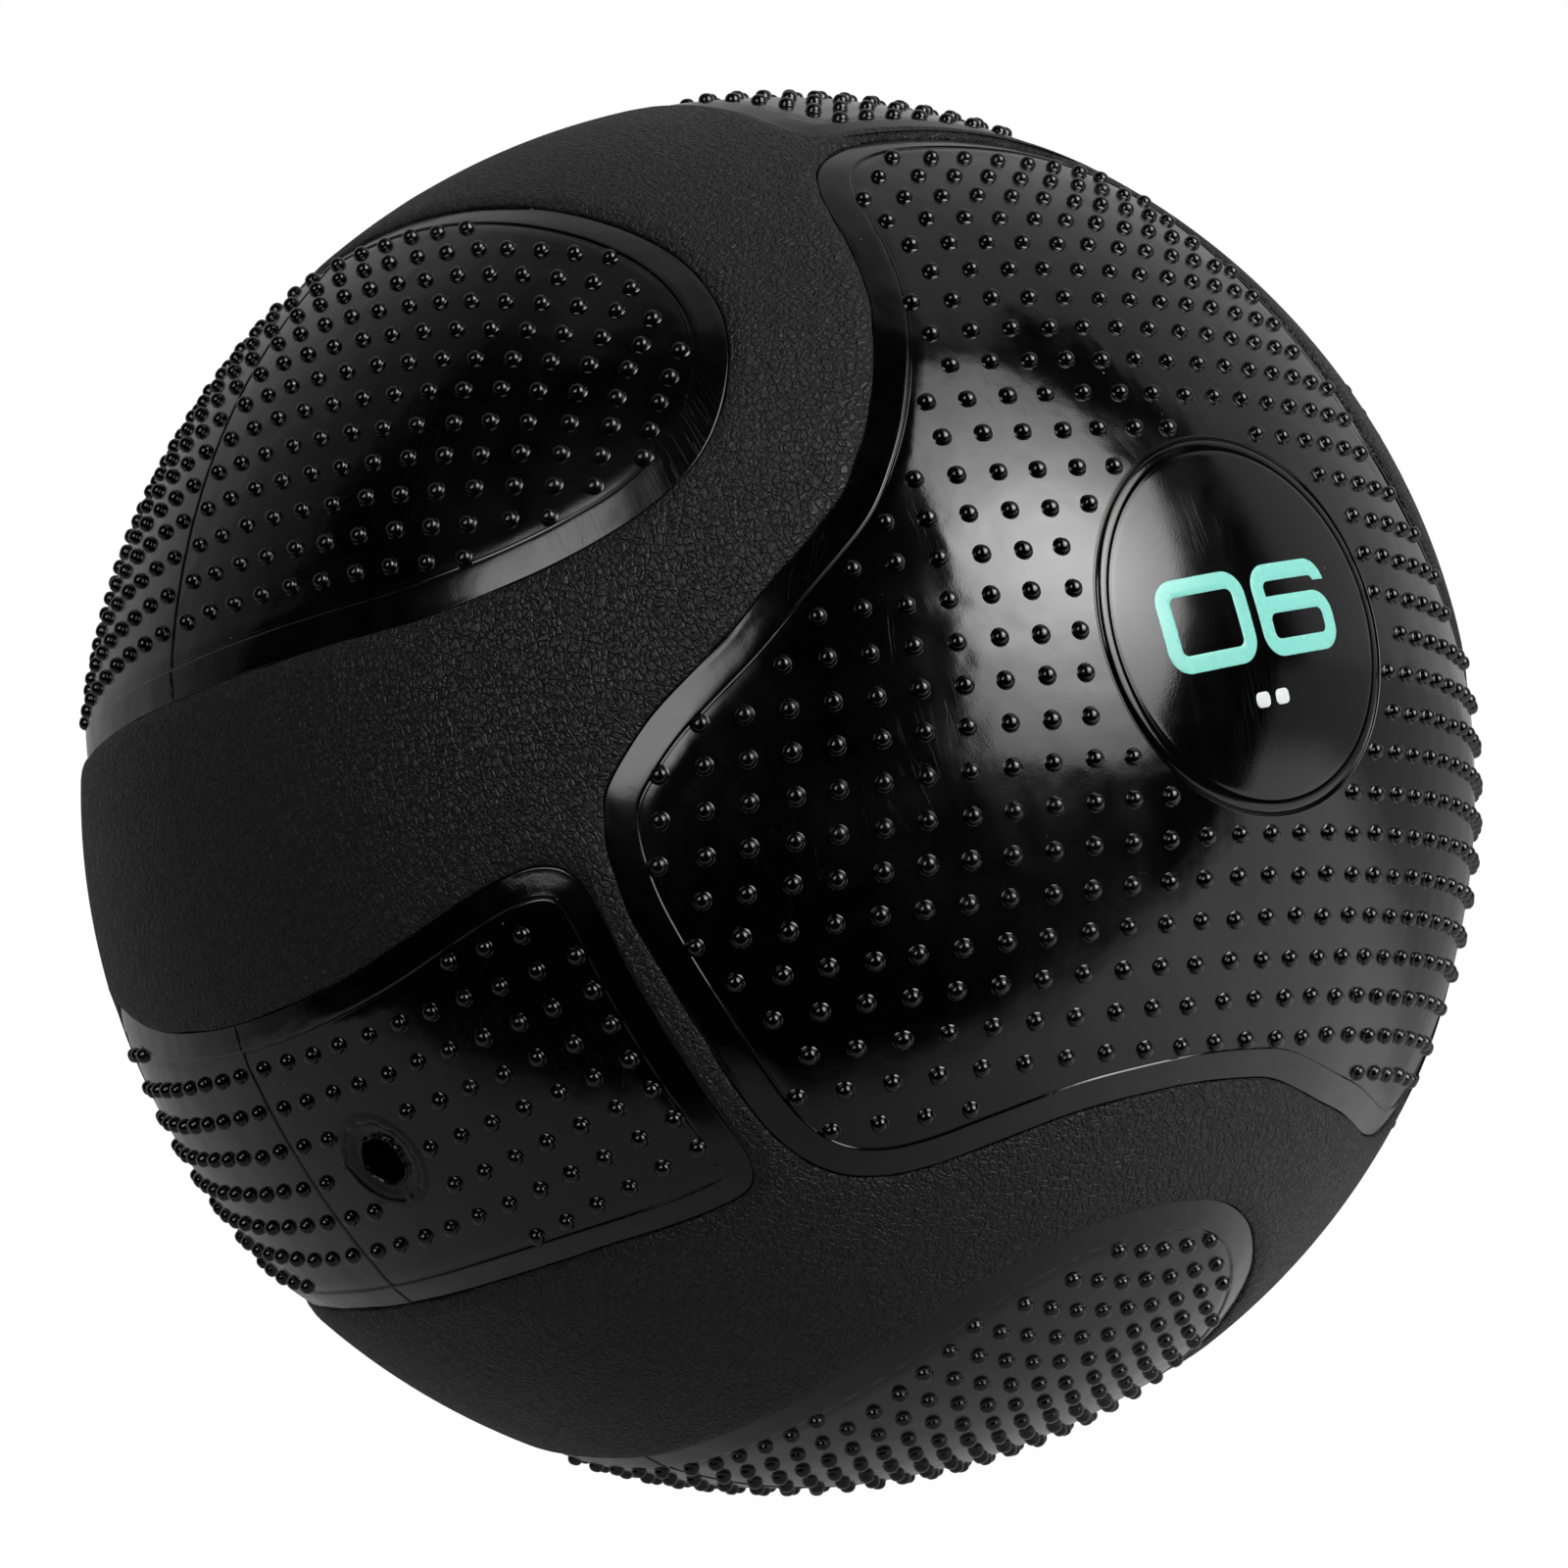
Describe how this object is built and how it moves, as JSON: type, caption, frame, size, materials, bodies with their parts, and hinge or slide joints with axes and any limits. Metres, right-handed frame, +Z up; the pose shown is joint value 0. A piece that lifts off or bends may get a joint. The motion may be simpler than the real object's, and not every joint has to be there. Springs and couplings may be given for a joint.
{
  "type": "medicine ball",
  "caption": "Weighted rubber exercise ball with recessed pip panels, a leather-grain grip web, weight discs at both poles and an inflation valve.",
  "frame": {"origin": "centre of the ball", "axes": "+Z up with the numerals upright; -Y out of the front weight disc, so Y is the moulds' own axis and XZ the parting plane; +X to the right of someone facing the front disc"},
  "size_m": [0.239, 0.2394, 0.2392],
  "materials": {
    "grain_rubber": "matte moulded leather grain",
    "gloss_rubber": "smooth glossy moulded rubber with small round pips",
    "disc_rubber": "smooth glossy",
    "teal_inlay": "satin coloured inlay",
    "white_inlay": "satin coloured inlay",
    "heavy_rubber": "dull filled rubber",
    "winding_nylon": "wound nylon thread in rubber",
    "butyl_rubber": "smooth dull butyl",
    "valve_rubber": "smooth soft rubber",
    "collar_rubber": "smooth glossy"
  },
  "bodies": {
    "ball": {"grip_web_front": "grain_rubber", "grip_web_rear": "grain_rubber", "pip_panel_front": "gloss_rubber", "pip_panel_rear": "gloss_rubber", "pip_panel_wide_1": "gloss_rubber", "pip_panel_wide_2": "gloss_rubber", "pip_panel_wide_3": "gloss_rubber", "pip_panel_narrow_1": "gloss_rubber", "pip_panel_narrow_valve": "gloss_rubber", "pip_panel_narrow_2": "gloss_rubber", "weight_disc_front": "disc_rubber", "weight_disc_rear": "disc_rubber", "numeral_zero_front": "teal_inlay", "numeral_six_front": "teal_inlay", "numeral_zero_rear": "teal_inlay", "numeral_six_rear": "teal_inlay", "unit_mark_left_front": "white_inlay", "unit_mark_right_front": "white_inlay", "unit_mark_left_rear": "white_inlay", "unit_mark_right_rear": "white_inlay", "heavy_wall_front": "heavy_rubber", "heavy_wall_rear": "heavy_rubber", "thread_winding": "winding_nylon", "butyl_bladder": "butyl_rubber", "valve_boot": "valve_rubber", "valve_collar": "collar_rubber"},
    "valve_core": {"valve_core": "valve_rubber"}
  },
  "joints": [
    {"name": "valve_core_slide", "type": "slide", "parent": "ball", "child": "valve_core", "axis": [-0.9155, -0.1288, -0.3811], "range_m": [0, 0.03]}
  ]
}
